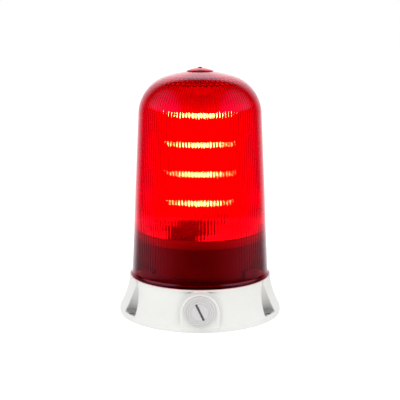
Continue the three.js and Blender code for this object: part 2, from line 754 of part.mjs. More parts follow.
function towerGroup() {
  const group = new THREE.Group();
  group.add(part('tower_foot', towerFoot(), looks.chassis));
  group.add(part('tower_column', towerColumn(), looks.aluminium));
  group.add(part('tower_cap', towerCap(), looks.chassis));
  const headSeat = COLUMN_Z[1] + 3.7 + 2 * GAP;
  const boltLength = headSeat - CUP_FLOOR - 4;
  const bolt = panHeadScrew(3.8, 2.8, BOLT_RADIUS, boltLength);
  group.add(part('tower_bolt', bolt, looks.steel, { z: headSeat, turn: 10 }));
  for (let i = 0; i < TOWER_SIDES; i += 1) {
    group.add(part(`led_board_${i + 1}`, ledBoard(), looks.ledBoard, { turn: (360 / TOWER_SIDES) * i }));
  }
  const wiring = new THREE.Group();
  wiring.rotation.z = radians(30);
  wiring.add(part('tower_connector', block([21.5, 26.5], [-3.7, 3.7], [ON_BOARD, 77.9]), looks.connector));
  wiring.add(part('tower_lead_1', towerLead(-1.25), looks.leadRed));
  wiring.add(part('tower_lead_2', towerLead(1.25), looks.leadBlack));
  group.add(wiring);
  return group;
}

// ---- Assembly -----------------------------------------------------------------------------

const beacon = new THREE.Group();
beacon.add(baseGroup(), domeGroup(), chassisGroup(), boardComponents(), towerGroup());

export default beacon;
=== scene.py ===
"""Looks of the alarm beacon: a fluted red dome on a light grey base, lit from inside by an LED tower.

Metres, +Z up, front towards -Y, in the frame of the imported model. Detail sizes are given in
millimetres and multiplied by MM; the main places come from the boxes of the CAD nodes.
"""

import json
import math

import bmesh
import bpy
from mathutils import Matrix, Vector

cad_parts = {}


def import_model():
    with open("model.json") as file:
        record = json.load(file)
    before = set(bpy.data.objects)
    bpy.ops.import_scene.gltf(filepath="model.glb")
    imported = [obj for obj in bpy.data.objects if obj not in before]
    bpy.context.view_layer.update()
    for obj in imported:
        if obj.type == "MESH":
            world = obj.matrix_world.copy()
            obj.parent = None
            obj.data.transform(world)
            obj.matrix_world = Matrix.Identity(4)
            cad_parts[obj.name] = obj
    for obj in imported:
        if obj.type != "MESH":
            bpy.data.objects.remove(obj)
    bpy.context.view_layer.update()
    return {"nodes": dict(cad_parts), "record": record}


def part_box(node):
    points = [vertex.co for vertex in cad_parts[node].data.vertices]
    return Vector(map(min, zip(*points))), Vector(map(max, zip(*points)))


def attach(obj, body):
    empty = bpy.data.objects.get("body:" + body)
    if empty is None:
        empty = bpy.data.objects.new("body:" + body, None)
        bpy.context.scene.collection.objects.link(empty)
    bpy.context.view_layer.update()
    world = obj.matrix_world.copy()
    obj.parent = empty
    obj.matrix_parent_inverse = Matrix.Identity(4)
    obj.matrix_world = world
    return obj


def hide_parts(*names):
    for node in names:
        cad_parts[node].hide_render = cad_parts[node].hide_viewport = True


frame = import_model()

MM = 0.001
TAU = 2 * math.pi
ON_AXIS = 1e-7  # a radius below this is the axis itself
SAME_PLACE = 0.001 * MM


# ---- Places taken from the frame ----

dome_low, dome_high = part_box("dome")
cup_low, cup_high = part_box("chassis_cup")
plug_low, plug_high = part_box("cable_plug")
washer_low, washer_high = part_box("cable_plug_washer")
board_low, board_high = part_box("driver_board")
led_low, led_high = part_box("led_board_1")
fuse_low, fuse_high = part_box("fuse")

GAP = 0.3 * MM  # clearance between neighbouring pieces
DECK = dome_low.z - GAP
PILLAR_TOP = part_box("base_housing")[1].z
PLUG_HEIGHT = (plug_low.z + plug_high.z) / 2
FIRST_LED = 102 * MM
LED_PITCH = 26.8 * MM
LED_HEIGHTS = [FIRST_LED + LED_PITCH * level for level in range(4)]


# ---- Mesh helpers ----

def new_object(name, bm, body=None, *stands_for):
    """Turns a bmesh into a scene object that rides on `body` and stands for the named CAD nodes."""
    mesh = bpy.data.meshes.new(name)
    bm.to_mesh(mesh)
    bm.free()
    obj = bpy.data.objects.new(name, mesh)
    bpy.context.scene.collection.objects.link(obj)
    if body:
        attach(obj, body)
    if stands_for:
        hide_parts(*stands_for)
    return obj


def scaled(points):
    """Points given in millimetres, in metres."""
    return [(r * MM, z * MM) for r, z in points]


def arc(centre, radius, start, end, steps):
    """Points of a circle arc in the (radius, height) plane, angles in degrees."""
    points = []
    for i in range(steps + 1):
        angle = math.radians(start + (end - start) * i / steps)
        points.append((centre[0] + radius * math.cos(angle), centre[1] + radius * math.sin(angle)))
    return points


def bezier(start, control, end, steps):
    """Points of the curve from `start` to `end` that bends towards `control`."""
    points = []
    for i in range(steps + 1):
        t = i / steps
        points.append(tuple(
            (1 - t) ** 2 * a + 2 * t * (1 - t) * b + t * t * c for a, b, c in zip(start, control, end)
        ))
    return points


def ring_at(bm, radius, height, angles):
    """A ring of vertices at the given angles, or a single vertex on the axis."""
    if radius < ON_AXIS:
        return [bm.verts.new((0, 0, height))]
    return [bm.verts.new((radius * math.cos(a), radius * math.sin(a), height)) for a in angles]


def join_rings(bm, lower, upper):
    """Faces between two rings of vertices; either may be a single vertex on the axis."""
    segments = max(len(lower), len(upper))
    if segments == 1:
        return
    for i in range(segments):
        j = (i + 1) % segments
        corners = [lower[i % len(lower)], lower[j % len(lower)]]
        corners += [upper[j % len(upper)], upper[i % len(upper)]]
        bm.faces.new(list(dict.fromkeys(corners)))


def lathe(profile, segments):
    """Turns a closed profile of (radius, height) points about Z; anticlockwise faces out."""
    bm = bmesh.new()
    angles = [TAU * i / segments for i in range(segments)]
    rings = [ring_at(bm, radius, height, angles) for radius, height in profile]
    closed = len(rings[0]) > 1 or len(rings[-1]) > 1
    count = len(rings)
    for k in range(count if closed else count - 1):
        join_rings(bm, rings[k], rings[(k + 1) % count])
    return bm


def cuboid(bm, low, high, matrix=None):
    """Adds a box between two corners and returns its vertices."""
    size = Vector(high) - Vector(low)
    place = Matrix.Translation((Vector(high) + Vector(low)) / 2) @ Matrix.Diagonal((*size, 1))
    made = bmesh.ops.create_cube(bm, size=1, matrix=(matrix or Matrix.Identity(4)) @ place)
    return made["verts"]


def rounded_box(bm, low, high, radius):
    """Adds a box with rounded edges between two corners."""
    corners = cuboid(bm, low, high)
    edges = dict.fromkeys(edge for corner in corners for edge in corner.link_edges)
    bmesh.ops.bevel(bm, geom=list(edges), offset=radius, segments=2, affect="EDGES")


def cylinder(bm, radius, low, high, matrix=None, segments=48):
    """Adds a cylinder along Z between two heights."""
    place = Matrix.Translation((0, 0, (low + high) / 2))
    bmesh.ops.create_cone(
        bm, cap_ends=True, segments=segments, radius1=radius, radius2=radius, depth=high - low,
        matrix=(matrix or Matrix.Identity(4)) @ place,
    )


def around(radius, degrees):
    """The place at a radius and an angle, anticlockwise from +X."""
    angle = math.radians(degrees)
    return Matrix.Translation((radius * math.cos(angle), radius * math.sin(angle), 0))


def posts(bm, radius, low, high, circle, angles, segments):
    """Adds upright cylinders that stand on a circle."""
    for angle in angles:
        cylinder(bm, radius, low, high, around(circle, angle), segments)
    return bm


def evaluated(obj):
    """Replaces an object's mesh by the result of its modifiers."""
    graph = bpy.context.evaluated_depsgraph_get()
    mesh = bpy.data.meshes.new_from_object(obj.evaluated_get(graph))
    obj.modifiers.clear()
    obj.data = mesh


def cut(obj, cutter_bm, operation="DIFFERENCE"):
    """Boolean of obj with a bmesh."""
    cutter = new_object("cutter", cutter_bm)
    modifier = obj.modifiers.new("cut", "BOOLEAN")
    modifier.object = cutter
    modifier.operation = operation
    modifier.solver = "EXACT"
    evaluated(obj)
    bpy.data.objects.remove(cutter)


def moulded(obj, voxel, rounds):
    """Gives a moulding its small fillets: an even fine mesh, relaxed until the corners are soft."""
    remesh = obj.modifiers.new("even", "REMESH")
    remesh.mode = "VOXEL"
    remesh.voxel_size = voxel
    relax = obj.modifiers.new("soft", "SMOOTH")
    relax.factor = 0.5
    relax.iterations = rounds
    evaluated(obj)
    obj.data.shade_smooth()


def smooth(obj, angle):
    """Smooth shading, apart from edges sharper than `angle` degrees."""
    obj.data.shade_smooth()
    obj.data.set_sharp_from_angle(angle=math.radians(angle))


def soften(obj, width, angle=35):
    """A small bevel and smooth shading on a CAD node that is shown as it is."""
    obj.modifiers.new("join", "WELD").merge_threshold = SAME_PLACE
    bevel = obj.modifiers.new("edge", "BEVEL")
    bevel.width = width
    bevel.segments = 2
    bevel.limit_method = "ANGLE"
    bevel.angle_limit = math.radians(angle)
    bevel.harden_normals = True
    smooth(obj, angle)


def paint(obj, *materials):
    """Gives an object these materials and no others."""
    obj.data.materials.clear()
    for material in materials:
        obj.data.materials.append(material)


# ---- Materials ----

class Wiring:
    """Short ways to add nodes to a node tree and to join them."""

    def __init__(self, tree):
        self.nodes = tree.nodes
        self.links = tree.links

    def node(self, kind, **settings):
        """A new node; settings are default values of its inputs, or its own properties."""
        made = self.nodes.new("ShaderNode" + kind)
        for key, value in settings.items():
            if key in made.inputs:
                made.inputs[key].default_value = value
            else:
                setattr(made, key, value)
        return made

    def link(self, source, target):
        self.links.new(source, target)

    def feed(self, value, target):
        """Links an output to an input, or sets the input to a number or a colour."""
        if isinstance(value, bpy.types.NodeSocket):
            self.link(value, target)
        else:
            target.default_value = (*value, 1) if isinstance(value, tuple) else value

    def spread(self, source, begin, end, first, last):
        """Maps a number that runs from `begin` to `end` onto `first` to `last`."""
        made = self.node("MapRange")
        limits = (("From Min", begin), ("From Max", end), ("To Min", first), ("To Max", last))
        for key, value in limits:
            made.inputs[key].default_value = value
        self.link(source, made.inputs["Value"])
        return made.outputs["Result"]

    def apply(self, operation, *sources):
        """A math node over one or two numbers."""
        made = self.node("Math", operation=operation)
        for source, target in zip(sources, made.inputs):
            self.feed(source, target)
        return made.outputs["Value"]

    def choose(self, factor, otherwise, value):
        """`value` where the factor is 1, `otherwise` where it is 0."""
        made = self.node("Mix")
        for source, name in ((factor, "Factor"), (otherwise, "A"), (value, "B")):
            self.feed(source, made.inputs[name])
        return made.outputs["Result"]

    def blend(self, factor, color, other, kind="MIX"):
        """Blends two colours, each a tuple or an output."""
        made = self.node("Mix", data_type="RGBA", blend_type=kind)
        for source, name in ((factor, "Factor"), (color, "A"), (other, "B")):
            self.feed(source, made.inputs[name])
        return made.outputs["Result"]

    def mix_shaders(self, factor, shader, other):
        """`other` where the factor is 1, `shader` where it is 0."""
        made = self.node("MixShader")
        for source, target in zip((factor, shader, other), made.inputs):
            self.link(source, target)
        return made.outputs["Shader"]

    def split(self, vector):
        """The three parts of a vector."""
        made = self.node("SeparateXYZ")
        self.link(vector, made.inputs["Vector"])
        return made.outputs

    def mirrored(self, direction):
        """What glossy surfaces see that way: a white backdrop behind, soft panels beside, else dark.

        The limits are parts of a unit direction: x across, y away from the camera, z up.
        """
        x, y, z = self.split(direction)
        across = self.apply("ABSOLUTE", x)
        behind = self.spread(y, 0.58, 0.74, 0, 1)
        middle = self.spread(across, 0.25, 0.85, 1, 0)
        backdrop = self.apply("MULTIPLY", behind, middle)
        beside = self.spread(across, 0.5, 0.7, 0, 1)
        raised = self.spread(z, 0.15, 0.25, 0, 1)
        panels = self.apply("MULTIPLY", beside, raised)
        panels = self.apply("MULTIPLY", panels, self.spread(z, 0.25, 0.6, 0.7, 0.45))
        panels = self.apply("MULTIPLY", panels, self.spread(y, 0.1, 0.5, 1, 0))
        return self.spread(self.apply("MAXIMUM", backdrop, panels), 0, 1, 0.01, 1.5)


class Look(Wiring):
    """A node material under construction: a Principled shader and short ways to wire into it."""

    def __init__(self, name, color, roughness, **inputs):
        self.material = bpy.data.materials.new(name)
        self.material.use_nodes = True
        super().__init__(self.material.node_tree)
        self.shader = self.nodes["Principled BSDF"]
        self.surface = self.nodes["Material Output"].inputs["Surface"]
        self.shader.inputs["Base Color"].default_value = (*color, 1)
        self.shader.inputs["Roughness"].default_value = roughness
        for key, value in inputs.items():
            self.shader.inputs[key.replace("_", " ")].default_value = value
        self.place = self.node("TexCoord").outputs["Object"]

    def set(self, name, source):
        """Links an output to an input of the Principled shader."""
        self.link(source, self.shader.inputs[name])

    def noise(self, scale, detail=3.0, stretch=None):
        """Noise in object coordinates, `scale` features per metre."""
        texture = self.node("TexNoise", Scale=scale, Detail=detail, Roughness=0.5)
        source = self.place
        if stretch:
            mapping = self.node("Mapping", Scale=stretch)
            self.link(source, mapping.inputs["Vector"])
            source = mapping.outputs["Vector"]
        self.link(source, texture.inputs["Vector"])
        return texture.outputs["Fac"]

    def ramp(self, factor, stops):
        """Colours or grey levels along a factor, from (place, colour) stops."""
        ramp = self.node("ValToRGB")
        elements = ramp.color_ramp.elements
        while len(elements) < len(stops):
            elements.new(0.5)
        for element, (place, color) in zip(elements, stops):
            element.position = place
            element.color = (*color, 1) if isinstance(color, tuple) else (color, color, color, 1)
        self.link(factor, ramp.inputs["Fac"])
        return ramp.outputs["Color"]

    def vary_color(self, factor, stops):
        self.set("Base Color", self.ramp(factor, stops))

    def vary_roughness(self, factor, low, high):
        self.set("Roughness", self.spread(factor, 0, 1, low, high))

    def bump(self, factor, height, strength=1.0):
        """Raises the surface by up to `height` where the factor is high."""
        bump = self.node("Bump", Strength=strength, Distance=height)
        self.link(factor, bump.inputs["Height"])
        self.set("Normal", bump.outputs["Normal"])


def shade(color, amount):
    """A colour made lighter or darker, kept within the range of a surface."""
    return tuple(min(1.0, c * amount) for c in color)


def moulded_plastic(name, color, roughness, painted_shade=0.0, open_air=(0.8, 1.0)):
    """Moulded plastic: faint mottling, uneven gloss, a fine spark-eroded grain and painted shade in recesses.

    `open_air` is the openness from which a place gets no painted shade, and how bright it is there.
    """
    look = Look(name, color, roughness)
    mottle_and_shade = look.ramp(look.noise(45, 4), [(0.3, shade(color, 0.965)), (0.7, shade(color, 1.02))])
    if painted_shade:
        # Painted shade: ambient occlusion darkens the colour in recesses and corners, where shade falls.
        openness = look.node("AmbientOcclusion", Distance=30 * MM, samples=8, only_local=True)
        unshaded = look.ramp(openness.outputs["AO"], [(0.5, 1 - painted_shade), open_air])
        mottle_and_shade = look.blend(1.0, mottle_and_shade, unshaded, "MULTIPLY")
    look.set("Base Color", mottle_and_shade)
    look.vary_roughness(look.noise(220), roughness - 0.07, roughness + 0.07)
    look.bump(look.noise(2600, 2), 0.02 * MM, 0.5)
    return look.material


def rubber():
    """Dull black rubber."""
    look = Look("rubber", (0.03, 0.03, 0.032), 0.8)
    look.vary_roughness(look.noise(300), 0.7, 0.9)
    look.bump(look.noise(4000), 0.03 * MM, 0.6)
    return look.material


def plated_steel():
    """Zinc-plated steel, cloudy as it leaves the bath."""
    look = Look("plated_steel", (0.62, 0.63, 0.65), 0.3, Metallic=1.0)
    look.vary_color(look.noise(600, 4), [(0.3, (0.5, 0.51, 0.53)), (0.7, (0.7, 0.71, 0.72))])
    look.vary_roughness(look.noise(900), 0.22, 0.42)
    return look.material


def extruded_aluminium():
    """Bare aluminium with fine lines along the extrusion."""
    look = Look("extruded_aluminium", (0.75, 0.76, 0.78), 0.35, Metallic=1.0)
    drawn = look.noise(900, stretch=(1, 1, 0.02))
    look.vary_roughness(drawn, 0.28, 0.45)
    look.bump(drawn, 0.02 * MM, 0.4)
    return look.material


def reflector():
    """Pale reflecting lacquer, sprayed on a little unevenly."""
    look = Look("reflector_lacquer", (0.8, 0.8, 0.78), 0.4)
    look.vary_roughness(look.noise(400, 4), 0.3, 0.5)
    look.bump(look.noise(700), 0.03 * MM, 0.5)
    return look.material


def circuit_board(name, mask, copper):
    """Solder mask over copper tracks: tracks show as slightly lighter, raised paths."""
    look = Look(name, mask, 0.35)
    cells = look.node("TexVoronoi", Scale=260.0, feature="DISTANCE_TO_EDGE", distance="CHEBYCHEV")
    look.link(look.place, cells.inputs["Vector"])
    tracks = look.ramp(cells.outputs["Distance"], [(0.06, 1.0), (0.1, 0.0)])
    look.set("Base Color", look.blend(tracks, mask, copper))
    look.bump(tracks, 0.03 * MM, 0.6)
    return look.material


def fuse_body():
    """Glass tube in the middle of the fuse, nickel-plated caps over its two ends."""
    glass = (0.8, 0.84, 0.83)
    nickel = (0.66, 0.64, 0.6)
    cap = 5 * MM
    edge = 0.1 * MM
    look = Look("fuse_body", glass, 0.05, IOR=1.5)
    along = look.split(look.place)[1]
    near_cap = look.spread(along, fuse_low.y + cap, fuse_low.y + cap + edge, 1, 0)
    far_cap = look.spread(along, fuse_high.y - cap - edge, fuse_high.y - cap, 0, 1)
    metal = look.apply("MAXIMUM", near_cap, far_cap)
    look.vary_color(metal, [(0.4, glass), (0.6, nickel)])
    look.set("Metallic", metal)
    look.set("Transmission Weight", look.spread(metal, 0, 1, 0.85, 0))
    look.vary_roughness(metal, 0.05, 0.3)
    look.bump(look.noise(1500), 0.01 * MM, 0.4)
    return look.material


DOME_TINT = (0.93, 0.004, 0.008)
DOME_CROWN_TINT = (0.72, 0.004, 0.008)
DOME_FOOT_TINT = (0.4, 0.004, 0.008)
DOME_RIM_TINT = (0.12, 0.002, 0.004)
DOME_EDGE_TINT = (0.75, 0.003, 0.08)


def turned_away(look):
    """0 where the dome's wall faces the eye, 1 towards its left and right edges."""
    sideways = look.node("VectorMath", operation="MULTIPLY")
    sideways.inputs[1].default_value = (1, 1, 0)
    look.link(look.place, sideways.inputs[0])
    turned = look.node("VectorTransform", vector_type="VECTOR", convert_from="OBJECT", convert_to="WORLD")
    look.link(sideways.outputs["Vector"], turned.inputs["Vector"])
    radial = look.node("VectorMath", operation="NORMALIZE")
    look.link(turned.outputs["Vector"], radial.inputs[0])
    facing = look.node("VectorMath", operation="DOT_PRODUCT")
    look.link(radial.outputs["Vector"], facing.inputs[0])
    look.link(look.node("NewGeometry").outputs["Incoming"], facing.inputs[1])
    return look.spread(look.apply("ABSOLUTE", facing.outputs["Value"]), 0.75, 0.4, 0, 1)


def dome_tint(look, height, edge):
    """The thick foot and crown swallow more light than the wall; the edges turn crimson."""
    tall = dome_high.z - dome_low.z
    above_foot = [
        (0, DOME_RIM_TINT), (1.5 * MM, DOME_FOOT_TINT), (5 * MM, DOME_FOOT_TINT),
        (11 * MM, DOME_TINT), (150 * MM, DOME_TINT), (164 * MM, DOME_CROWN_TINT),
    ]
    along = look.spread(height, dome_low.z, dome_high.z, 0, 1)
    tinted = look.ramp(along, [(above / tall, color) for above, color in above_foot])
    return look.blend(edge, tinted, DOME_EDGE_TINT)


def dome_haze(look, height):
    """The wall is a little milky beside the LEDs, clearer above and below, and banded by level."""
    milky = look.ramp(
        look.spread(height, 0, dome_high.z, 0, 1),
        [(0.165, 0.0), (0.2, 0.03), (0.33, 0.02), (0.4, 0.05), (0.84, 0.045), (0.88, 0.02), (0.93, 0.004)],
    )
    level = look.spread(height, LED_HEIGHTS[0], LED_HEIGHTS[1], 0, TAU)
    band = look.spread(look.apply("COSINE", level), -1, 1, 1.0, 0.7)
    return look.apply("MULTIPLY", milky, band)


def dome_polycarbonate():
    """Clear red polycarbonate; diffuse and shadow rays pass straight through it, tinted."""
    look = Look("dome_polycarbonate", DOME_TINT, 0.02, IOR=1.585, Transmission_Weight=1.0)
    height = look.split(look.place)[2]
    edge = turned_away(look)
    look.set("Base Color", dome_tint(look, height, edge))
    above_cup = look.spread(height, cup_high.z, cup_high.z + 6 * MM, 0, 1)
    look.set("Specular Tint", look.ramp(above_cup, [(0.0, (1.0, 0.5, 0.9)), (1.0, (1.0, 0.02, 0.6))]))
    haze = look.node("BsdfTranslucent")
    look.link(look.ramp(edge, [(0.0, (0.95, 0.0, 0.002)), (1.0, (0.36, 0.0, 0.07))]), haze.inputs["Color"])
    amount = dome_haze(look, height)
    body = look.mix_shaders(amount, look.shader.outputs["BSDF"], haze.outputs["BSDF"])
    # A ray crosses the wall's two surfaces, so each takes the square root of the tint.
    through = look.node("BsdfTransparent", Color=(*(math.sqrt(c) for c in DOME_TINT), 1))
    rays = look.node("LightPath").outputs
    passing = look.apply("MAXIMUM", rays["Is Shadow Ray"], rays["Is Diffuse Ray"])
    look.link(look.mix_shaders(passing, body, through.outputs["BSDF"]), look.surface)
    return look.material


def emitter_phosphor():
    """The lit face of an LED: bright to the eye, but the lamps on the axis do the lighting.

    Through the dome only a trace of green and blue survives, so they are raised there until the
    spots show a white heart with a yellow rim.
    """
    look = Look("emitter_phosphor", (0.9, 0.75, 0.3), 0.4)
    rays = look.node("LightPath").outputs
    bounces = look.apply("ADD", rays["Diffuse Depth"], rays["Glossy Depth"])
    look.set("Emission Strength", look.apply("LESS_THAN", bounces, 0.5))
    look.set("Emission Color", look.blend(rays["Is Transmission Ray"], (9, 8, 5), (10, 5000, 650)))
    look.material.cycles.emission_sampling = "NONE"
    return look.material


# ---- Dome ----

RIBS = 124
RIB_STEPS = 8
RIB_SHARE = 0.42  # of the pitch; flat wall between the ribs
RIB_SLOPE = math.radians(56)
RIBS_END = 54  # degrees up the shoulder; the thicker crown above has scales instead
RIBS_FADE = 190 * MM  # from this height up to their end the ribs grow shallower
FADE = 0.6  # share of their height that they lose
RIBS_FULL = FIRST_LED + 3.5 * MM  # full height from here up
RIBS_SHALLOW = FIRST_LED - 1 * MM  # shallow from here down
SHALLOW_SHARE = 0.4
SCALE_RINGS = 6  # rings of staggered scales that cover the inside of the crown
SCALE_STEPS = 4
SCALES = 50
SCALE_HEIGHT = 1.2 * MM
PLAIN = (0.0, 0.0, 0.0)  # a row with neither ribs nor scales

DOME_WALL = 1.9 * MM
CROWN_WALL = 2.5 * MM
SHOULDER_Z = dome_high.z - 43 * MM
SHOULDER_RADIUS = 56.3 * MM
SHOULDER_CENTRE = 20 * MM
SHOULDER_RISE = 36.6 * MM
NUB_RADIUS = 12.4 * MM
NUB_HEIGHT = 4.1 * MM
NUB_WALL = 2.4 * MM  # of the crown under the nub
SIDE_LOW = 8 * MM  # above the foot, where the straight side begins
INNER_SIDE_LOW = 13 * MM

DOME_BORE = 60.3 * MM
BORE_TOP = 11.5 * MM  # above the foot
LUG_TOP = 7.4 * MM
LUG_UNDERSIDE = 4.5 * MM
LUG_ANGLES = (125, 245, 5)
LUG_ARC = 26
LUG_INNER = 57.9 * MM
SEAL_GROOVE = (61.2 * MM, 63.3 * MM)
SEAL_GROOVE_DEPTH = 1.5 * MM
RIM_CHAMFER = 0.3 * MM


def shoulder(inset, steps, last=72):
    """The quarter ellipse from the side of the dome up to its crown, with its outward normals."""
    rows = []
    across = SHOULDER_RADIUS - SHOULDER_CENTRE - inset
    rise = SHOULDER_RISE - inset
    for i in range(steps + 1):
        angle = math.radians(last) * i / steps
        normal = Vector((math.cos(angle) / across, math.sin(angle) / rise)).normalized()
        place = Vector((SHOULDER_CENTRE + across * math.cos(angle), SHOULDER_Z + rise * math.sin(angle)))
        rows.append((place, normal))
    return rows


def dome_outside():
    """Outer profile from the foot to the tip, as (radius, height)."""
    foot = dome_low.z
    rim = dome_high.x
    top = dome_high.z
    rows = [(rim, foot + 0.15 * MM)]
    rows += arc((rim - 0.8 * MM, foot + 0.9 * MM), 0.8 * MM, 10, 60, 3)
    rows += [(rim - 1.0 * MM, foot + 2.2 * MM), (rim - 1.4 * MM, foot + 4.6 * MM)]
    side_low = Vector((rim - 1.8 * MM, foot + SIDE_LOW))
    side_high = Vector((SHOULDER_RADIUS, SHOULDER_Z))
    rows += [tuple(side_low.lerp(side_high, i / 8)) for i in range(8)]
    rows += [tuple(place) for place, _ in shoulder(0, 20)]
    crown_low = Vector(rows[-1])
    crown_bend = crown_low + Vector((-9.2 * MM, 2.8 * MM))
    rows += bezier(crown_low, crown_bend, (NUB_RADIUS, top - NUB_HEIGHT), 6)[1:]
    lens_low = (NUB_RADIUS - 0.4 * MM, top - 3.3 * MM)
    rows += bezier(lens_low, (7.5 * MM, top - 1.4 * MM), (2.7 * MM, top - 0.9 * MM), 6)
    rows += arc((0.8 * MM, top - 1.6 * MM), 1.6 * MM, 25, 80, 4)
    rows.append((0, top))
    return rows


def crown_inside(ribs_end):
    """Inner rows from the middle of the crown out to where the ribs end: rings of staggered scales."""
    middle = Vector((0, dome_high.z - NUB_HEIGHT - NUB_WALL))
    curve = [place for place, _ in reversed(shoulder(CROWN_WALL, 24)) if place.x < ribs_end.x]
    curve = [middle.lerp(curve[0], i / 8) for i in range(1, 8)] + curve
    rows = [(middle, Vector((0, 1)), *PLAIN)]
    count = SCALE_STEPS * SCALE_RINGS
    for i in range(count):
        ring, step = divmod(i, SCALE_STEPS)
        along = 1 + (len(curve) - 2) * i / (count - 1)
        k = min(int(along), len(curve) - 2)
        place = curve[k].lerp(curve[k + 1], along - k)
        across = (curve[k + 1] - curve[k]).normalized()
        height = SCALE_HEIGHT * math.sin(math.pi * step / SCALE_STEPS)
        rows.append((place, Vector((-across.y, across.x)), 0.0, height, math.pi * (ring % 2)))
    return rows


def side_inside(side_high):
    """Inner rows of the straight side; the ribs run out to a shallow height below the LEDs."""
    side_low = Vector((dome_high.x - 1.9 * MM - DOME_WALL, dome_low.z + INNER_SIDE_LOW))
    rows = []
    for height, share in ((RIBS_FULL, 1.0), (RIBS_SHALLOW, SHALLOW_SHARE), (side_low.y, SHALLOW_SHARE)):
        place = side_low.lerp(side_high, (height - side_low.y) / (side_high.y - side_low.y))
        rows.append((place, Vector((1, 0.05)), share, 0.0, 0.0))
    return rows


def foot_inside():
    """Inner rows of the foot: the bore, with rows at the edges of the lugs, and the seal's groove."""
    groove_in, groove_out = SEAL_GROOVE
    profile = [(DOME_BORE, height) for height in (BORE_TOP, LUG_TOP, LUG_UNDERSIDE, 0)]
    profile += [(groove_in, 0), (groove_in, SEAL_GROOVE_DEPTH)]
    profile += [(groove_out, SEAL_GROOVE_DEPTH), (groove_out, 0), (dome_high.x - RIM_CHAMFER, 0)]
    return [(Vector((radius, dome_low.z + height)), Vector((1, 0)), *PLAIN) for radius, height in profile]


def dome_inside():
    """Inner rows from the middle of the crown down to the foot.

    Each row has its place, its outward normal, its share of the ribs' height, and the height of
    the crown's scales with the turn by which they are staggered.
    """
    curve = shoulder(DOME_WALL, 14, RIBS_END)
    ribs_end, end_normal = curve[-1]
    rows = crown_inside(ribs_end)
    rows.append((ribs_end, end_normal, *PLAIN))
    for place, normal in reversed(curve):
        share = 1 - FADE * max(0.0, (place.y - RIBS_FADE) / (ribs_end.y - RIBS_FADE))
        rows.append((place, normal, share, 0.0, 0.0))
    return rows + side_inside(curve[0][0]) + foot_inside()


def rib_points():
    """One pitch of the inner wall: place from -1 to 1 across it, and rise in half pitches."""
    radius = RIB_SHARE / math.sin(RIB_SLOPE)
    points = [(-1.0, 0.0)]
    for i in range(RIB_STEPS + 1):
        slope = RIB_SLOPE * (2 * i / RIB_STEPS - 1)
        points.append((radius * math.sin(slope), radius * (math.cos(slope) - math.cos(RIB_SLOPE))))
    return points


def ribbed_ring(bm, row, angles, rises):
    """A ring of the inner wall that follows the ribs or the scales."""
    place, normal, share, scale, turn = row
    if place.x < ON_AXIS:
        return ring_at(bm, 0, place.y, angles)
    half_pitch = math.pi * place.x / RIBS
    ring = []
    for angle, rise in zip(angles, rises):
        bump = scale * (1 + math.cos(SCALES * angle + turn)) / 2
        at = place - normal * (share * rise * half_pitch + bump)
        ring.append(bm.verts.new((at.x * math.cos(angle), at.x * math.sin(angle), at.y)))
    return ring


def in_lug(angle):
    """Whether a direction lies within one of the three lugs."""
    offsets = [(math.degrees(angle) - middle + 180) % 360 - 180 for middle in LUG_ANGLES]
    return any(abs(offset) < LUG_ARC / 2 for offset in offsets)


def lug_ring(bm, place, angles):
    """A ring of the bore that steps in where the lugs stand."""
    ring = []
    for angle in angles:
        radius = LUG_INNER if in_lug(angle) else place.x
        ring.append(bm.verts.new((radius * math.cos(angle), radius * math.sin(angle), place.y)))
    return ring


def dome():
    """The shell: fine ribs and scales inside, plain outside, lugs and a seal groove in its foot."""
    angles, rises = [], []
    for rib in range(RIBS):
        for across, rise in rib_points():
            angles.append(TAU * (rib + across / 2) / RIBS - TAU / 4)
            rises.append(rise)
    bm = bmesh.new()
    rings = []
    for row in dome_inside():
        rings.append(ribbed_ring(bm, row, angles, rises))
        # Each edge of the lugs has a second ring that steps in; between the lugs the two coincide.
        above_foot = row[0].y - dome_low.z
        if abs(above_foot - LUG_TOP) < SAME_PLACE:
            rings.append(lug_ring(bm, row[0], angles))
        elif abs(above_foot - LUG_UNDERSIDE) < SAME_PLACE:
            rings.insert(-1, lug_ring(bm, row[0], angles))
    rings += [ring_at(bm, radius, height, angles) for radius, height in dome_outside()]
    for lower, upper in zip(rings, rings[1:]):
        join_rings(bm, lower, upper)
    bmesh.ops.remove_doubles(bm, verts=bm.verts, dist=SAME_PLACE)
    obj = new_object("dome_shell", bm, "dome_body", "dome")
    smooth(obj, 50)
    paint(obj, dome_polycarbonate())
    return obj


# ---- Base ----

WALL = 3 * MM
OVERLAP = 0.5 * MM  # by which joined shapes reach into each other
FOOT_RADIUS = 75 * MM
FOOT_EDGE = 0.6 * MM
FOOT_BAND = 4.3 * MM
POT_RADIUS = 54.3 * MM  # inside of the round pot that holds the wiring space
GASKET_GROOVE = (48 * MM, 51 * MM)
GASKET_GROOVE_DEPTH = 1.5 * MM
REAR_ENTRY_Y = 28 * MM  # a second cable hole, through the floor behind the centre
REAR_ENTRY_RADIUS = 10 * MM

FIXING_ANGLES = (-30, 90, 210)  # the three pockets, anticlockwise from +X
FIXING_CIRCLE = 70.5 * MM
FIXING_HOLE_RADIUS = 2.6 * MM
POCKET_CIRCLE = 75.4 * MM
POCKET_RADIUS = 9.8 * MM
POCKET_FLOOR = 6 * MM
POCKET_TOP = 33 * MM

CHASSIS_SCREW_ANGLES = (90, 210, 330)
CHASSIS_SCREW_CIRCLE = 46 * MM
PILLAR_RADIUS = 4 * MM
PILLAR_BORE = 2 * MM
PILLAR_BORE_DEPTH = 14 * MM

WASHER_SUNK = 0.3 * MM  # by which the washer cuts into the boss; a gap would need the other sign
BOSS_FACE = washer_high.y - WASHER_SUNK
BOSS_HALF_WIDTH = 17.4 * MM
BOSS_TOP = 34.6 * MM
BOSS_UNDERSIDE = 4.5 * MM
BOSS_CHAMFER = 1.4 * MM
ENTRY_BORE = 10.3 * MM
ENTRY_BORE_REACH = (48 * MM, 80 * MM)  # from the axis of the base, out through the boss


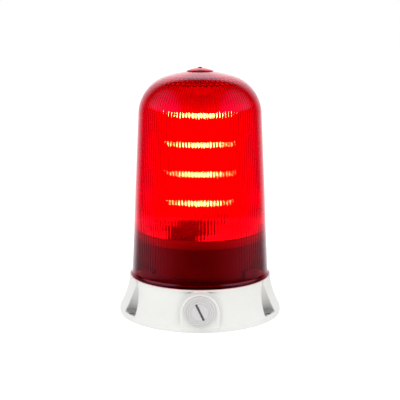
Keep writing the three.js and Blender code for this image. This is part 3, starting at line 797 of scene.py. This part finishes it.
def foot_outside():
    """Outside of the foot: a straight band with a small edge, and the flare up to the lip."""
    flare = scaled(bezier((74.6, 4.9), (67.4, 18.5), (65.3, 32.6), 14))
    return [(FOOT_RADIUS - FOOT_EDGE, 0), (FOOT_RADIUS, FOOT_EDGE), (FOOT_RADIUS, FOOT_BAND)], flare


def base_profile():
    """Pot, open-bottomed skirt, lip and deck in one closed profile."""
    groove_in, groove_out = GASKET_GROOVE
    ceiling = DECK - WALL
    band, flare = foot_outside()
    underside = [(0, 0), (groove_in, 0), (groove_in, GASKET_GROOVE_DEPTH)]
    underside += [(groove_out, GASKET_GROOVE_DEPTH), (groove_out, 0), (POT_RADIUS + WALL, 0)]
    skirt = [(POT_RADIUS + WALL, ceiling)] + [(r - WALL, min(z, ceiling)) for r, z in reversed(flare)]
    skirt.append((FOOT_RADIUS - WALL, 0))
    lip = scaled([(65.35, 33.6), (65.8, 34.3), (65.8, 35.1), (65.3, 35.7)])
    pot = [(POT_RADIUS, DECK), (POT_RADIUS, WALL), (0, WALL)]
    return underside + skirt + band + flare + lip + pot


def entry_boss():
    """The arch-fronted block of the cable entry, with a chamfer round its front face."""
    bm = bmesh.new()
    springing = BOSS_TOP - BOSS_HALF_WIDTH
    inner_half_width = BOSS_HALF_WIDTH - BOSS_CHAMFER
    back = -POT_RADIUS - OVERLAP
    layers = [
        (BOSS_HALF_WIDTH, back), (BOSS_HALF_WIDTH, BOSS_FACE + BOSS_CHAMFER), (inner_half_width, BOSS_FACE)
    ]
    rings = []
    for reach, y in layers:
        outline = [(-reach, BOSS_UNDERSIDE), (reach, BOSS_UNDERSIDE)] + arc((0, springing), reach, 0, 180, 32)
        rings.append([bm.verts.new((x, y, z)) for x, z in outline])
    for lower, upper in zip(rings, rings[1:]):
        join_rings(bm, lower, upper)
    bm.faces.new(reversed(rings[0]))
    bm.faces.new(rings[-1])
    bmesh.ops.recalc_face_normals(bm, faces=bm.faces)
    return bm


def pocket_block(angle):
    """The round block that holds a fixing pocket, trimmed to the outside of the foot."""
    block = posts(bmesh.new(), POCKET_RADIUS + WALL, 0, POCKET_TOP, POCKET_CIRCLE, [angle], 96)
    column = new_object("pocket_block", block)
    band, flare = foot_outside()
    cut(column, lathe([(0, 0)] + band + flare + [(0, flare[-1][1])], 256), "INTERSECT")
    trimmed = bmesh.new()
    trimmed.from_mesh(column.data)
    bpy.data.objects.remove(column)
    return trimmed


def base_holes():
    """Screw holes, the rear cable entry and the bore behind the plug."""
    bm = bmesh.new()
    bore_low = PILLAR_TOP - PILLAR_BORE_DEPTH
    posts(bm, PILLAR_BORE, bore_low, PILLAR_TOP + MM, CHASSIS_SCREW_CIRCLE, CHASSIS_SCREW_ANGLES, 24)
    posts(bm, FIXING_HOLE_RADIUS, -MM, POCKET_FLOOR + 2 * MM, FIXING_CIRCLE, FIXING_ANGLES, 48)
    cylinder(bm, REAR_ENTRY_RADIUS, -MM, WALL + MM, Matrix.Translation((0, REAR_ENTRY_Y, 0)), 64)
    lying = Matrix.Translation((0, 0, PLUG_HEIGHT)) @ Matrix.Rotation(math.pi / 2, 4, "X")
    cylinder(bm, ENTRY_BORE, *ENTRY_BORE_REACH, lying, 64)
    return bm


def paint_base(obj):
    """Pale plastic with painted shade in its recesses, and a deeper painted shade on the walls and floors of
    the pockets.
    """
    pale = (0.80, 0.81, 0.785)
    paint(
        obj,
        # Painted shade from ambient occlusion in the recesses of the moulding.
        moulded_plastic("housing_plastic", pale, 0.5, painted_shade=0.7),
        # The pockets get a deeper painted shade, even where they are open.
        moulded_plastic("pocket_plastic_painted_shade", pale, 0.5, painted_shade=0.7, open_air=(1.0, 0.82)),
    )
    axes = [around(POCKET_CIRCLE, angle).translation.xy for angle in FIXING_ANGLES]
    low = POCKET_FLOOR - 0.5 * MM
    reach = POCKET_RADIUS + 0.3 * MM
    # The walls and floors of the pockets take the material with the deeper painted shade.
    for face in obj.data.polygons:
        if face.center.z > low and any((face.center.xy - axis).length < reach for axis in axes):
            face.material_index = 1


def base_housing():
    """The moulding: pot, flared foot, cable-entry boss, pockets, screw pillars and holes."""
    obj = new_object("base_moulding", lathe(base_profile(), 256), "root", "base_housing")
    cut(obj, entry_boss(), "UNION")
    for angle in FIXING_ANGLES:
        cut(obj, pocket_block(angle), "UNION")
    pocket_end = POCKET_TOP + 0.2 * MM
    cut(obj, posts(bmesh.new(), POCKET_RADIUS, POCKET_FLOOR, pocket_end, POCKET_CIRCLE, FIXING_ANGLES, 96))
    pillars = bmesh.new()
    foot = WALL - OVERLAP
    posts(pillars, PILLAR_RADIUS, foot, PILLAR_TOP, CHASSIS_SCREW_CIRCLE, CHASSIS_SCREW_ANGLES, 32)
    cut(obj, pillars, "UNION")
    cut(obj, base_holes())
    moulded(obj, (0.55) * MM, 5)
    paint_base(obj)


PLUG_FACE = 3.2 * MM  # height of the head
PLUG_SHANK_RADIUS = 10 * MM
PLUG_SHANK_LENGTH = 12 * MM
PLUG_SHANK_CHAMFER = 0.8 * MM
PLUG_GROOVES = (11.9 * MM, 9.9 * MM, 7.9 * MM)  # radii of the shallow grooves round its face
PLUG_GROOVE_DEPTH = 0.4 * MM
PLUG_SLOT_WIDTH = 1.9 * MM
PLUG_SLOT_LENGTH = 15.6 * MM
PLUG_SLOT_DEPTH = 2.4 * MM
PLUG_SLOT_TURN = 25.4  # degrees from upright


def plug_profile():
    """Half section of the plug about its own axis, from the end of its shank to its face."""
    head = plug_high.x
    shank = PLUG_SHANK_RADIUS
    end = -PLUG_SHANK_LENGTH
    profile = [(0, end), (shank - PLUG_SHANK_CHAMFER, end), (shank, end + PLUG_SHANK_CHAMFER), (shank, 0)]
    profile += [(head - 0.3 * MM, 0), (head, 0.3 * MM)]
    profile += arc((head - 1.0 * MM, PLUG_FACE - 1.0 * MM), 1.0 * MM, 0, 90, 6)
    bottom = PLUG_FACE - PLUG_GROOVE_DEPTH
    for groove in PLUG_GROOVES:
        profile += [(groove + 0.5 * MM, PLUG_FACE), (groove + 0.3 * MM, bottom)]
        profile += [(groove - 0.3 * MM, bottom), (groove - 0.5 * MM, PLUG_FACE)]
    profile.append((0, PLUG_FACE))
    return profile


def cable_plug():
    """The blanking plug: shallow rings on its face and a straight screwdriver slot."""
    obj = new_object("plug_moulding", lathe(plug_profile(), 128))
    slot = bmesh.new()
    tilt = Matrix.Rotation(math.radians(PLUG_SLOT_TURN), 4, "Z")
    low = (-PLUG_SLOT_WIDTH / 2, -PLUG_SLOT_LENGTH / 2, PLUG_FACE - PLUG_SLOT_DEPTH)
    high = (PLUG_SLOT_WIDTH / 2, PLUG_SLOT_LENGTH / 2, PLUG_FACE + MM)
    cuboid(slot, low, high, tilt)
    cut(obj, slot)
    moulded(obj, (0.2) * MM, 3)
    seat = Matrix.Translation((0, washer_low.y - GAP, PLUG_HEIGHT))
    obj.data.transform(seat @ Matrix.Rotation(math.pi / 2, 4, "X"))
    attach(obj, "plug_body")
    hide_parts("cable_plug")
    # Painted shade from ambient occlusion darkens the slot and the grooves of the face.
    paint(obj, moulded_plastic("plug_plastic", (0.62, 0.62, 0.62), 0.45, painted_shade=0.6))


# ---- Chassis and LEDs ----

CUP_RADIUS = 57.2 * MM
CUP_INNER = 54.2 * MM
SKIRT_INNER = 54.3 * MM
TUB_TURN = 0.4  # degrees, so that no edge of the tub falls on an edge of the lugs
CUP_BOTTOM = PILLAR_TOP + GAP
CUP_FLOOR = CUP_BOTTOM + 2.5 * MM
CUP_STEP = cup_high.z - 8 * MM  # where a fine groove sets off the rim
POST_TOP = board_low.z - GAP
SIDE_POST_RADIUS = 3.5 * MM
SIDE_POST_BORE = 1.5 * MM
SIDE_POST_BORE_DEPTH = 9 * MM
CENTRE_POST_RADIUS = 7 * MM
CENTRE_POST_BORE = 2.3 * MM
BOARD_SCREW_ANGLES = (30, 150, 270)
BOARD_SCREW_CIRCLE = 44 * MM
CHASSIS_SCREW_CLEARANCE = 2.1 * MM

CHASSIS_LUG_ANGLES = (90, 210, 330)
CHASSIS_LUG_RADIUS = 59.5 * MM
CHASSIS_LUG_ARC = 30
CHASSIS_LUG_Z = (44 * MM, 47 * MM)
STOP_RADIUS = 59.48 * MM
STOP_ARC = 3.2  # of the rib at the end of each lug
STOP_OFFSET = 16.5  # degrees from the middle of the lug
STOP_Z = (40.5 * MM, 46.5 * MM)


def cup_profile():
    """Skirt, cup and rim in one closed profile, with a corner in the inner wall level with the board."""
    step = CUP_STEP
    top = cup_high.z
    groove = CUP_RADIUS - 1.1 * MM
    rim = CUP_RADIUS - 0.7 * MM
    profile = [(0, CUP_BOTTOM), (SKIRT_INNER, CUP_BOTTOM), (SKIRT_INNER, cup_low.z)]
    profile += [(CUP_RADIUS - 0.4 * MM, cup_low.z), (CUP_RADIUS, cup_low.z + 0.4 * MM)]
    profile += [(CUP_RADIUS, step - 0.3 * MM), (CUP_RADIUS - 0.3 * MM, step)]
    profile += [(groove, step + 0.1 * MM), (groove, step + 0.9 * MM), (rim, step + 1.1 * MM)]
    profile += [(rim, top - 0.5 * MM), (rim - 0.5 * MM, top), (CUP_INNER + 0.3 * MM, top)]
    profile += [(CUP_INNER, top - 0.4 * MM), (CUP_INNER, board_high.z)]
    profile += [(CUP_INNER, CUP_FLOOR), (0, CUP_FLOOR)]
    return profile


def arc_block(inner, outer, heights, middle, width, steps):
    """A slice of a ring, `width` degrees about `middle`."""
    bm = bmesh.new()
    low, high = heights
    section = ((inner, low), (outer, low), (outer, high), (inner, high))
    corners = []
    for i in range(steps + 1):
        angle = math.radians(middle - width / 2 + width * i / steps)
        corners.append([bm.verts.new((r * math.cos(angle), r * math.sin(angle), z)) for r, z in section])
    for before, after in zip(corners, corners[1:]):
        for k in range(4):
            bm.faces.new((before[k], after[k], after[(k + 1) % 4], before[(k + 1) % 4]))
    bm.faces.new(reversed(corners[0]))
    bm.faces.new(corners[-1])
    bmesh.ops.recalc_face_normals(bm, faces=bm.faces)
    return bm


def board_posts():
    """The posts that rise from the floor of the cup to the board."""
    bm = bmesh.new()
    foot = CUP_FLOOR - OVERLAP
    posts(bm, SIDE_POST_RADIUS, foot, POST_TOP, BOARD_SCREW_CIRCLE, BOARD_SCREW_ANGLES, 32)
    cylinder(bm, CENTRE_POST_RADIUS, foot, POST_TOP)
    return bm


def cup_holes():
    """Holes for the board screws, the chassis screws and the tower bolt."""
    bm = bmesh.new()
    above = POST_TOP + MM
    bore_low = POST_TOP - SIDE_POST_BORE_DEPTH
    posts(bm, SIDE_POST_BORE, bore_low, above, BOARD_SCREW_CIRCLE, BOARD_SCREW_ANGLES, 24)
    low, high = CUP_BOTTOM - MM, CUP_FLOOR + MM
    posts(bm, CHASSIS_SCREW_CLEARANCE, low, high, CHASSIS_SCREW_CIRCLE, CHASSIS_SCREW_ANGLES, 24)
    cylinder(bm, CENTRE_POST_BORE, CUP_FLOOR + 2 * MM, above, segments=24)
    return bm


def paint_cup(obj):
    """Black plastic, a pale lacquer on the inner wall above the board, and a greyer rim whose lighter grey is
    painted light for the dome's glow, which does not reach its outer side.
    """
    paint(
        obj,
        moulded_plastic("chassis_plastic", (0.07, 0.07, 0.073), 0.5),
        reflector(),
        # Painted light: the rim's outer band is a lighter grey so that it looks lit by the glow.
        moulded_plastic("rim_plastic_painted_light", (0.15, 0.13, 0.14), 0.45),
    )
    for face in obj.data.polygons:
        outwards = face.center.xy.dot(face.normal.xy) / CUP_RADIUS
        on_wall = face.center.xy.length > SKIRT_INNER - MM
        if outwards < -0.8 and face.center.z > board_high.z and on_wall:
            face.material_index = 1
        # The outer band above the step takes the lighter grey of painted light.
        elif outwards > 0.8 and face.center.z > CUP_STEP:
            face.material_index = 2


def chassis_cup():
    """Black cup on a skirt that reaches down to the deck and carries three bayonet lugs."""
    tub = lathe(cup_profile(), 192)
    tub.transform(Matrix.Rotation(math.radians(TUB_TURN), 4, "Z"))
    obj = new_object("chassis_tub", tub, "root", "chassis_cup")
    cut(obj, board_posts(), "UNION")
    root = CUP_RADIUS - OVERLAP
    for middle in CHASSIS_LUG_ANGLES:
        cut(obj, arc_block(root, CHASSIS_LUG_RADIUS, CHASSIS_LUG_Z, middle, CHASSIS_LUG_ARC, 16), "UNION")
        cut(obj, arc_block(root, STOP_RADIUS, STOP_Z, middle - STOP_OFFSET, STOP_ARC, 3), "UNION")
    cut(obj, cup_holes())
    smooth(obj, 35)
    paint_cup(obj)
    return obj


LED_BOARDS = 6
LED_FRONT = led_low.y + 1.6 * MM  # front face of the narrow board behind the LEDs
LED_HALF = 2.5 * MM
LENS_SHAPE = (0.9, 0.7, 2.4, 1)  # half sizes of a lit lens in millimetres


def led_board(index, board_material, body_material, lit_material):
    """One narrow board with four LEDs, each a white body with a lit lens."""
    strip = bmesh.new()
    rounded_box(strip, (-led_high.x, LED_FRONT, led_low.z), (led_high.x, led_high.y, led_high.z), 0.15 * MM)
    bodies = bmesh.new()
    lenses = bmesh.new()
    for height in LED_HEIGHTS:
        low = (-LED_HALF, led_low.y + 0.2 * MM, height - LED_HALF)
        high = (LED_HALF, LED_FRONT - 0.02 * MM, height + LED_HALF)
        rounded_box(bodies, low, high, 0.2 * MM)
        lens = Matrix.Translation((0, led_low.y + 0.25 * MM, height)) @ Matrix.Diagonal(LENS_SHAPE)
        bmesh.ops.create_uvsphere(lenses, u_segments=24, v_segments=12, radius=MM, matrix=lens)
    pieces = (
        ("strip", strip, board_material, [f"led_board_{index + 1}"]),
        ("body", bodies, body_material, []),
        ("lens", lenses, lit_material, []),
    )
    for kind, bm, material, stands_for in pieces:
        bm.transform(Matrix.Rotation(TAU * index / LED_BOARDS, 4, "Z"))
        piece = new_object(f"led_{kind}_{index + 1}", bm, "root", *stands_for)
        smooth(piece, 40)
        paint(piece, material)


def led_boards():
    """The six boards round the tower."""
    board_material = moulded_plastic("led_board_mask", (0.85, 0.85, 0.82), 0.35)
    body_material = moulded_plastic("led_package", (0.9, 0.9, 0.88), 0.4)
    lit_material = emitter_phosphor()
    for index in range(LED_BOARDS):
        led_board(index, board_material, body_material, lit_material)


def carried_over_nodes():
    """CAD nodes whose shape is right: each gets its edges softened and its own material."""
    looks = {
        "rubber": rubber(),
        "steel": plated_steel(),
        "aluminium": extruded_aluminium(),
        "chassis": moulded_plastic("tower_plastic", (0.02, 0.02, 0.022), 0.4),
        "cap": moulded_plastic("cap_nylon", (0.7, 0.7, 0.68), 0.4),
        "board": circuit_board("driver_board_mask", (0.41, 0.42, 0.4), (0.62, 0.52, 0.34)),
        "terminal": moulded_plastic("terminal_plastic", (0.012, 0.09, 0.035), 0.45),
        "component": moulded_plastic("component_epoxy", (0.02, 0.02, 0.022), 0.5),
        "sleeve": moulded_plastic("capacitor_sleeve", (0.02, 0.035, 0.11), 0.3),
        "fuse_glass": fuse_body(),
        "connector": moulded_plastic("connector_nylon", (0.86, 0.81, 0.68), 0.5),
        "lead_positive": moulded_plastic("lead_red", (0.5, 0.02, 0.02), 0.35),
        "lead_negative": moulded_plastic("lead_black", (0.015, 0.015, 0.017), 0.35),
    }
    slots = {row["node"]: row["material_slot"] for row in frame["record"]["subparts"]}
    for node, obj in frame["nodes"].items():
        if obj.hide_render:
            continue
        soften(obj, 0.15 * MM)
        paint(obj, looks["cap" if node == "tower_cap" else slots[node]])


# ---- Studio ----

CAMERA_ELEVATION = 10.61
CAMERA_DISTANCE = 0.9233
CAMERA_TARGET = Vector((0, 0, 0.1038))
LIGHT_TARGET = Vector((0, 0, 0.12))


def world():
    """A white room; each kind of ray sees its own share of it.

    The camera sees white. Matt surfaces get less light from below. Seen through the dome, the
    room is bright behind the beacon and dim in front. The dome mirrors only a white backdrop
    behind the beacon and panels beside it, so its front stays deep red.
    """
    made = bpy.data.worlds.new("studio")
    bpy.context.scene.world = made
    made.use_nodes = True
    wiring = Wiring(made.node_tree)
    direction = wiring.node("TexCoord").outputs["Generated"]
    rays = wiring.node("LightPath").outputs
    _, y, z = wiring.split(direction)
    strength = wiring.spread(y, -0.7, 0.3, 0.2, 1.35)
    strength = wiring.choose(rays["Is Glossy Ray"], strength, wiring.mirrored(direction))
    strength = wiring.choose(rays["Is Diffuse Ray"], strength, wiring.spread(z, -0.1, 1.0, 0.55, 1.1))
    strength = wiring.choose(rays["Is Camera Ray"], strength, 1.0)
    background = wiring.nodes["Background"]
    wiring.link(strength, background.inputs["Strength"])
    background.inputs["Color"].default_value = (1, 1, 1, 1)


def floor():
    """Pale paper; glossy surfaces see the studio in it, and a dim table round the beacon."""
    bm = bmesh.new()
    bmesh.ops.create_grid(bm, x_segments=1, y_segments=1, size=6)
    obj = new_object("floor", bm)
    obj.location.z = -0.2 * MM
    look = Look("floor_paper", (0.9, 0.9, 0.9), 0.9)
    look.shader.inputs["Emission Color"].default_value = (1, 1, 1, 1)
    look.shader.inputs["Emission Strength"].default_value = 0.35
    back = look.node("VectorMath", operation="SCALE", Scale=-1.0)
    look.link(look.node("NewGeometry").outputs["Incoming"], back.inputs[0])
    direction = back.outputs["Vector"]
    away = look.node("VectorMath", operation="LENGTH")
    look.link(look.place, away.inputs[0])
    near = look.spread(away.outputs["Value"], 0.45, 0.75, 1, 0)
    behind = look.spread(look.split(direction)[1], -0.95, 0.0, 0, 0.26)
    table = look.apply("MULTIPLY", near, behind)
    mirrored = look.node("Emission", Color=(1, 1, 1, 1))
    look.link(look.apply("ADD", look.mirrored(direction), table), mirrored.inputs["Strength"])
    glossy = look.node("LightPath").outputs["Is Glossy Ray"]
    finished = look.mix_shaders(glossy, look.shader.outputs["BSDF"], mirrored.outputs["Emission"])
    look.link(finished, look.surface)
    paint(obj, look.material)


def outwards(azimuth, elevation):
    """Direction away from the beacon in degrees; azimuth 0 is the front."""
    a, e = math.radians(azimuth), math.radians(elevation)
    return Vector((math.sin(a) * math.cos(e), -math.cos(a) * math.cos(e), math.sin(e)))


def placed(name, data, target, away, distance):
    """A lamp or camera at a distance from the target, looking back at it."""
    obj = bpy.data.objects.new(name, data)
    bpy.context.scene.collection.objects.link(obj)
    obj.location = target + away * distance
    obj.rotation_mode = "QUATERNION"
    obj.rotation_quaternion = away.to_track_quat("Z", "Y")
    return obj


def unseen(obj):
    """Keeps a lamp out of reflections and out of what shows through the dome."""
    obj.visible_glossy = False
    obj.visible_transmission = False


def softbox(name, azimuth, elevation, distance, size, power, only=None):
    """A square soft light aimed at the middle of the beacon."""
    light = bpy.data.lights.new(name, "AREA")
    light.shape = "SQUARE"
    light.size = size
    light.energy = power
    obj = placed(name, light, LIGHT_TARGET, outwards(azimuth, elevation), distance)
    unseen(obj)
    if only:
        obj.light_linking.receiver_collection = collection_of(name, only)


def collection_of(name, objects):
    """A collection of objects for light linking."""
    made = bpy.data.collections.new(name)
    for obj in objects:
        made.objects.link(obj)
    return made


def inner_glow(shell, cup):
    """Red lamps on the axis, one per LED level, for the light that the closed dome holds.

    They light the dome, the cup and its board; only the cup casts shade. They leave with the dome.
    """
    lit = collection_of("lit_from_inside", [shell, cup, frame["nodes"]["driver_board"]])
    shading = collection_of("shades_the_glow", [cup])
    for level, height in enumerate(LED_HEIGHTS):
        light = bpy.data.lights.new(f"glow_{level + 1}", "POINT")
        light.color = (1.0, 0.2, 0.5)
        light.energy = 0.28
        light.shadow_soft_size = 6 * MM
        obj = bpy.data.objects.new(light.name, light)
        bpy.context.scene.collection.objects.link(obj)
        obj.location = (0, 0, height)
        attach(obj, "dome_body")
        obj.light_linking.receiver_collection = lit
        obj.light_linking.blocker_collection = shading
        obj.visible_camera = False
        unseen(obj)


def camera():
    """A long lens from a little above the front."""
    data = bpy.data.cameras.new("camera")
    data.lens = 90
    data.sensor_width = 36
    data.clip_start = 0.05
    data.clip_end = 50
    away = outwards(0, CAMERA_ELEVATION)
    bpy.context.scene.camera = placed("camera", data, CAMERA_TARGET, away, CAMERA_DISTANCE)


# ---- Build ----

shell = dome()
base_housing()
cable_plug()
cup = chassis_cup()
led_boards()
carried_over_nodes()

world()
floor()
softbox("key", -12, 62, 1.3, 0.9, 4.5)
softbox("side_left", -86, 6, 0.7, 0.3, 11, only=[cup])
softbox("side_right", 86, 6, 0.7, 0.3, 11, only=[cup])
inner_glow(shell, cup)
camera()
bpy.context.scene.view_settings.view_transform = "Standard"
bpy.context.scene.cycles.sample_clamp_indirect = 60
